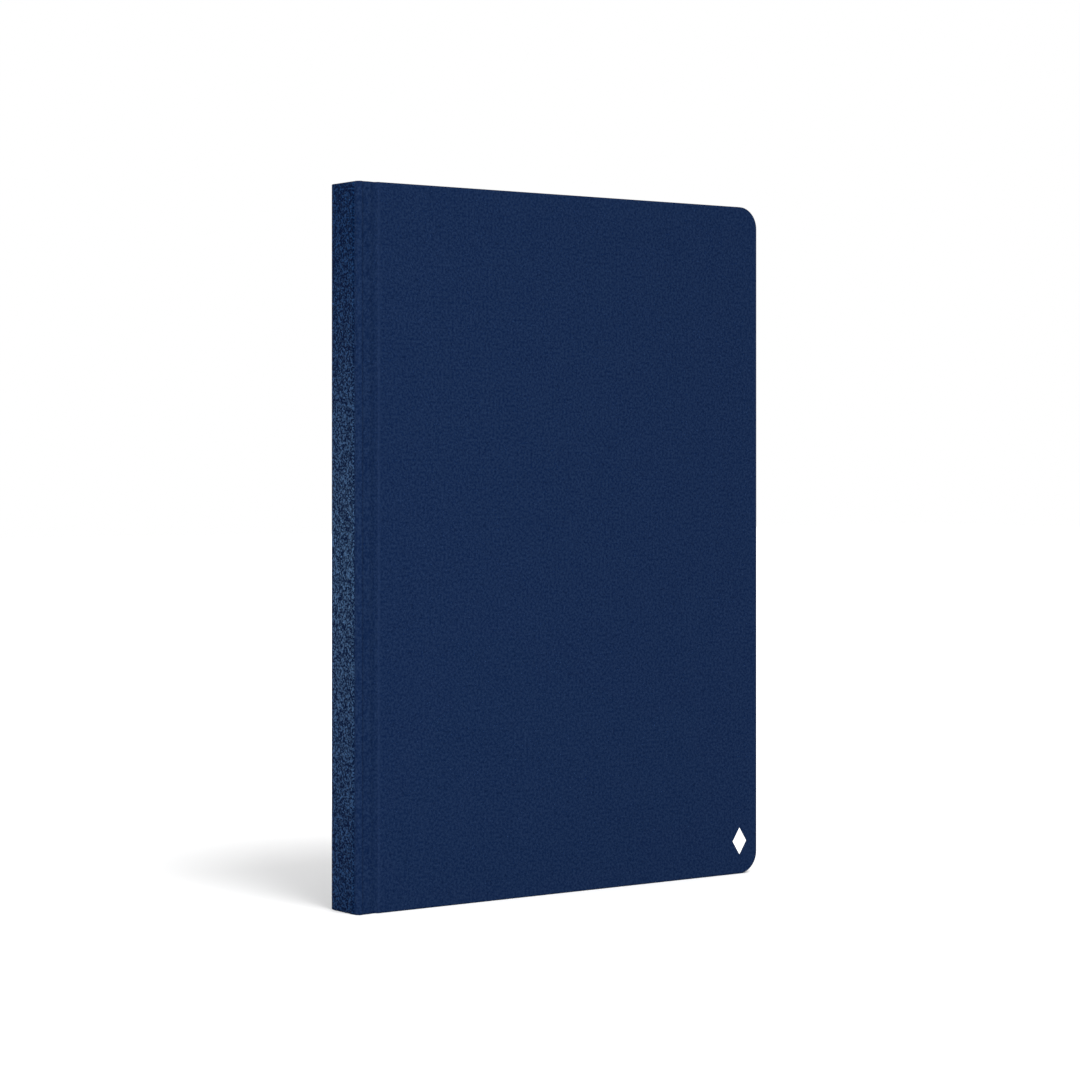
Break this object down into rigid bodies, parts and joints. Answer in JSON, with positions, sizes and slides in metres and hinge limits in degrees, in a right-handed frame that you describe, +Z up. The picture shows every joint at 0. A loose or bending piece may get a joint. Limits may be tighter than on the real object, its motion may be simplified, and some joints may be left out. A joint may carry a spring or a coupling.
{
  "type": "pilot logbook",
  "caption": "Case-bound pilot logbook with cloth-covered boards, a flat spine and hinged covers that open and fan out its sewn sections.",
  "frame": {"origin": "centre of the footprint of the closed book standing on its tail, on the surface that it stands on", "axes": "+Z up from tail to head, +X from the spine to the fore-edge, +Y from the front cover to the back cover"},
  "size_m": [0.154, 0.015, 0.216],
  "materials": {
    "cover_cloth": "matte",
    "greyboard": "matte",
    "endpaper": "matte",
    "page_paper": "matte",
    "mull_gauze": "matte",
    "kraft_paper": "matte",
    "band_thread": "satin",
    "sewing_thread": "satin",
    "white_foil": "satin"
  },
  "bodies": {
    "spine": {"spine_board": "greyboard", "spine_cloth": "cover_cloth", "spine_liner": "kraft_paper", "mull": "mull_gauze", "headband": "band_thread", "tailband": "band_thread", "sewing_chain_1": "sewing_thread", "sewing_chain_2": "sewing_thread", "sewing_chain_3": "sewing_thread", "sewing_chain_4": "sewing_thread", "front_hinge_cloth": "cover_cloth", "back_hinge_cloth": "cover_cloth", "front_endpaper_joint": "endpaper", "back_endpaper_joint": "endpaper"},
    "front_cover": {"front_board": "greyboard", "front_cover_cloth": "cover_cloth", "front_pastedown": "endpaper", "cover_mark": "white_foil"},
    "back_cover": {"back_board": "greyboard", "back_cover_cloth": "cover_cloth", "back_pastedown": "endpaper"},
    "front_flyleaf": {"front_flyleaf": "endpaper"},
    "back_flyleaf": {"back_flyleaf": "endpaper"},
    "section_1": {"section_1": "page_paper"},
    "section_2": {"section_2": "page_paper"},
    "section_3": {"section_3": "page_paper"},
    "section_4": {"section_4": "page_paper"},
    "section_5": {"section_5": "page_paper"},
    "section_6": {"section_6": "page_paper"},
    "section_7": {"section_7": "page_paper"},
    "section_8": {"section_8": "page_paper"}
  },
  "joints": [
    {"name": "front_cover_open", "type": "hinge", "parent": "spine", "child": "front_cover", "pos_m": [-0.0745, -0.0044, 0.108], "axis": [0, 0, -1], "range_deg": [0, 179], "deforming": ["front_hinge_cloth", "front_endpaper_joint"]},
    {"name": "back_cover_open", "type": "hinge", "parent": "spine", "child": "back_cover", "pos_m": [-0.0745, 0.0044, 0.108], "axis": [0, 0, 1], "range_deg": [0, 179], "deforming": ["back_hinge_cloth", "back_endpaper_joint"]},
    {"name": "front_flyleaf_turn", "type": "hinge", "parent": "spine", "child": "front_flyleaf", "pos_m": [-0.0734, -0.00417, 0.108], "axis": [0, 0, -1], "range_deg": [0, 162]},
    {"name": "section_1_turn", "type": "hinge", "parent": "spine", "child": "section_1", "pos_m": [-0.0734, -0.00417, 0.108], "axis": [0, 0, -1], "range_deg": [0, 144]},
    {"name": "section_2_turn", "type": "hinge", "parent": "spine", "child": "section_2", "pos_m": [-0.0734, -0.00417, 0.108], "axis": [0, 0, -1], "range_deg": [0, 108]},
    {"name": "section_3_turn", "type": "hinge", "parent": "spine", "child": "section_3", "pos_m": [-0.0734, -0.00417, 0.108], "axis": [0, 0, -1], "range_deg": [0, 72]},
    {"name": "section_4_turn", "type": "hinge", "parent": "spine", "child": "section_4", "pos_m": [-0.0734, -0.00417, 0.108], "axis": [0, 0, -1], "range_deg": [0, 36]},
    {"name": "section_5_turn", "type": "hinge", "parent": "spine", "child": "section_5", "pos_m": [-0.0734, 0.00417, 0.108], "axis": [0, 0, 1], "range_deg": [0, 36]},
    {"name": "section_6_turn", "type": "hinge", "parent": "spine", "child": "section_6", "pos_m": [-0.0734, 0.00417, 0.108], "axis": [0, 0, 1], "range_deg": [0, 72]},
    {"name": "section_7_turn", "type": "hinge", "parent": "spine", "child": "section_7", "pos_m": [-0.0734, 0.00417, 0.108], "axis": [0, 0, 1], "range_deg": [0, 108]},
    {"name": "section_8_turn", "type": "hinge", "parent": "spine", "child": "section_8", "pos_m": [-0.0734, 0.00417, 0.108], "axis": [0, 0, 1], "range_deg": [0, 144]},
    {"name": "back_flyleaf_turn", "type": "hinge", "parent": "spine", "child": "back_flyleaf", "pos_m": [-0.0734, 0.00417, 0.108], "axis": [0, 0, 1], "range_deg": [0, 162]}
  ],
  "couplings": [
    {"joint": "front_flyleaf_turn", "follows": "front_cover_open", "ratio": 0.9},
    {"joint": "section_1_turn", "follows": "front_cover_open", "ratio": 0.8},
    {"joint": "section_2_turn", "follows": "front_cover_open", "ratio": 0.6},
    {"joint": "section_3_turn", "follows": "front_cover_open", "ratio": 0.4},
    {"joint": "section_4_turn", "follows": "front_cover_open", "ratio": 0.2},
    {"joint": "back_flyleaf_turn", "follows": "back_cover_open", "ratio": 0.9},
    {"joint": "section_8_turn", "follows": "back_cover_open", "ratio": 0.8},
    {"joint": "section_7_turn", "follows": "back_cover_open", "ratio": 0.6},
    {"joint": "section_6_turn", "follows": "back_cover_open", "ratio": 0.4},
    {"joint": "section_5_turn", "follows": "back_cover_open", "ratio": 0.2}
  ]
}
